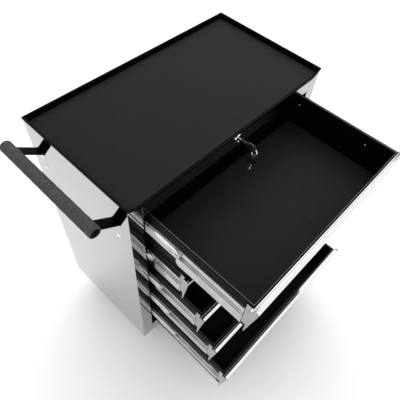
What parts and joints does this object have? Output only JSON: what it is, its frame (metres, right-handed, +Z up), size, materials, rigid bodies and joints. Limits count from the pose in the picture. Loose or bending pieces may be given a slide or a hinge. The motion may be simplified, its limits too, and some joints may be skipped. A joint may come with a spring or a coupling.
{
  "type": "rolling tool chest",
  "caption": "Low steel roll cabinet on casters: lined top tray, side push handle with foam grip, key lock and ball-slide drawers standing open in steps.",
  "frame": {"origin": "on the floor, under the middle of the chest's overall box with its drawers as they stand at rest", "axes": "+Z up, -Y out of the drawer fronts, -X towards the push handle"},
  "size_m": [0.6866, 0.606, 0.7678],
  "materials": {
    "polished_steel": "mirror-polished sheet steel",
    "black_coat": "semi-gloss black powder coat",
    "zinc_steel": "bright zinc plate, rolled",
    "chrome_lock": "polished chrome",
    "rubber_mat": "matt textured sheet",
    "foam_grip": "closed-cell foam, matt",
    "black_plastic": "moulded, fine grain",
    "wheel_tread": "solid rubber tread, matt"
  },
  "bodies": {
    "cabinet": {"side_panel_left": "polished_steel", "side_panel_right": "polished_steel", "back_panel": "polished_steel", "base_pan": "polished_steel", "header_rail": "polished_steel", "top_tray": "black_coat", "top_mat": "rubber_mat", "slide_rack_left": "zinc_steel", "slide_rack_right": "zinc_steel", "handle_strap_front": "black_coat", "handle_strap_rear": "black_coat", "handle_tube": "black_coat", "handle_grip": "foam_grip", "lock_barrel": "chrome_lock", "swivel_plate_front": "zinc_steel", "fixed_bracket_front": "zinc_steel", "swivel_plate_rear": "zinc_steel", "fixed_bracket_rear": "zinc_steel"},
    "drawer_1": {"drawer_box_1": "black_coat", "drawer_front_1": "polished_steel", "inner_slide_left_1": "zinc_steel", "inner_slide_right_1": "zinc_steel"},
    "middle_slides_1": {"middle_slide_left_1": "zinc_steel", "middle_slide_right_1": "zinc_steel"},
    "drawer_2": {"drawer_box_2": "black_coat", "drawer_front_2": "polished_steel", "inner_slide_left_2": "zinc_steel", "inner_slide_right_2": "zinc_steel"},
    "middle_slides_2": {"middle_slide_left_2": "zinc_steel", "middle_slide_right_2": "zinc_steel"},
    "drawer_3": {"drawer_box_3": "black_coat", "drawer_front_3": "polished_steel", "inner_slide_left_3": "zinc_steel", "inner_slide_right_3": "zinc_steel"},
    "middle_slides_3": {"middle_slide_left_3": "zinc_steel", "middle_slide_right_3": "zinc_steel"},
    "drawer_4": {"drawer_box_4": "black_coat", "drawer_front_4": "polished_steel", "inner_slide_left_4": "zinc_steel", "inner_slide_right_4": "zinc_steel"},
    "middle_slides_4": {"middle_slide_left_4": "zinc_steel", "middle_slide_right_4": "zinc_steel"},
    "drawer_5": {"drawer_box_5": "black_coat", "drawer_front_5": "polished_steel", "inner_slide_left_5": "zinc_steel", "inner_slide_right_5": "zinc_steel"},
    "middle_slides_5": {"middle_slide_left_5": "zinc_steel", "middle_slide_right_5": "zinc_steel"},
    "lock_turning": {"lock_plug": "chrome_lock", "lock_cam": "zinc_steel", "key_in_lock": "black_plastic"},
    "swivel_front": {"swivel_fork_front": "zinc_steel"},
    "swivel_wheel_front": {"swivel_wheel_front": "wheel_tread"},
    "brake_pedal_front": {"brake_pedal_front": "black_plastic"},
    "fixed_wheel_front": {"fixed_wheel_front": "wheel_tread"},
    "swivel_rear": {"swivel_fork_rear": "zinc_steel"},
    "swivel_wheel_rear": {"swivel_wheel_rear": "wheel_tread"},
    "brake_pedal_rear": {"brake_pedal_rear": "black_plastic"},
    "fixed_wheel_rear": {"fixed_wheel_rear": "wheel_tread"}
  },
  "joints": [
    {"name": "drawer_1_slide", "type": "slide", "parent": "cabinet", "child": "drawer_1", "axis": [0, -1, 0], "range_m": [-0.2775, 0]},
    {"name": "middle_1_slide", "type": "slide", "parent": "cabinet", "child": "middle_slides_1", "axis": [0, -1, 0], "range_m": [-0.13885, 0.0001]},
    {"name": "drawer_2_slide", "type": "slide", "parent": "cabinet", "child": "drawer_2", "axis": [0, -1, 0], "range_m": [-0.12182, 0.15568]},
    {"name": "middle_2_slide", "type": "slide", "parent": "cabinet", "child": "middle_slides_2", "axis": [0, -1, 0], "range_m": [-0.06101, 0.07794]},
    {"name": "drawer_3_slide", "type": "slide", "parent": "cabinet", "child": "drawer_3", "axis": [0, -1, 0], "range_m": [-0.1751, 0.1024]},
    {"name": "middle_3_slide", "type": "slide", "parent": "cabinet", "child": "middle_slides_3", "axis": [0, -1, 0], "range_m": [-0.08765, 0.0513]},
    {"name": "drawer_4_slide", "type": "slide", "parent": "cabinet", "child": "drawer_4", "axis": [0, -1, 0], "range_m": [-0.22478, 0.05273]},
    {"name": "middle_4_slide", "type": "slide", "parent": "cabinet", "child": "middle_slides_4", "axis": [0, -1, 0], "range_m": [-0.11249, 0.02646]},
    {"name": "drawer_5_slide", "type": "slide", "parent": "cabinet", "child": "drawer_5", "axis": [0, -1, 0], "range_m": [-0.274, 0.0035]},
    {"name": "middle_5_slide", "type": "slide", "parent": "cabinet", "child": "middle_slides_5", "axis": [0, -1, 0], "range_m": [-0.1371, 0.00185]},
    {"name": "lock_turn", "type": "hinge", "parent": "cabinet", "child": "lock_turning", "pos_m": [0.03525, -0.0295, 0.73832], "axis": [0, 1, 0], "range_deg": [0, 90]},
    {"name": "swivel_front_turn", "type": "hinge", "parent": "cabinet", "child": "swivel_front", "pos_m": [-0.21775, 0.013, 0.09976], "axis": [0, 0, 1], "continuous": true},
    {"name": "swivel_wheel_front_roll", "type": "hinge", "parent": "swivel_front", "child": "swivel_wheel_front", "pos_m": [-0.19575, 0.013, 0.03776], "axis": [0, 1, 0], "continuous": true},
    {"name": "brake_pedal_front_press", "type": "hinge", "parent": "swivel_front", "child": "brake_pedal_front", "pos_m": [-0.16875, 0.013, 0.07575], "axis": [0, 1, 0], "range_deg": [-22, 0]},
    {"name": "fixed_wheel_front_roll", "type": "hinge", "parent": "cabinet", "child": "fixed_wheel_front", "pos_m": [0.28825, 0.013, 0.03776], "axis": [0, 1, 0], "continuous": true},
    {"name": "swivel_rear_turn", "type": "hinge", "parent": "cabinet", "child": "swivel_rear", "pos_m": [-0.21775, 0.263, 0.09976], "axis": [0, 0, 1], "continuous": true},
    {"name": "swivel_wheel_rear_roll", "type": "hinge", "parent": "swivel_rear", "child": "swivel_wheel_rear", "pos_m": [-0.19575, 0.263, 0.03776], "axis": [0, 1, 0], "continuous": true},
    {"name": "brake_pedal_rear_press", "type": "hinge", "parent": "swivel_rear", "child": "brake_pedal_rear", "pos_m": [-0.16875, 0.263, 0.07575], "axis": [0, 1, 0], "range_deg": [-22, 0]},
    {"name": "fixed_wheel_rear_roll", "type": "hinge", "parent": "cabinet", "child": "fixed_wheel_rear", "pos_m": [0.28825, 0.263, 0.03776], "axis": [0, 1, 0], "continuous": true}
  ],
  "couplings": [
    {"joint": "middle_1_slide", "follows": "drawer_1_slide", "ratio": 0.5},
    {"joint": "middle_2_slide", "follows": "drawer_2_slide", "ratio": 0.5},
    {"joint": "middle_3_slide", "follows": "drawer_3_slide", "ratio": 0.5},
    {"joint": "middle_4_slide", "follows": "drawer_4_slide", "ratio": 0.5},
    {"joint": "middle_5_slide", "follows": "drawer_5_slide", "ratio": 0.5}
  ]
}
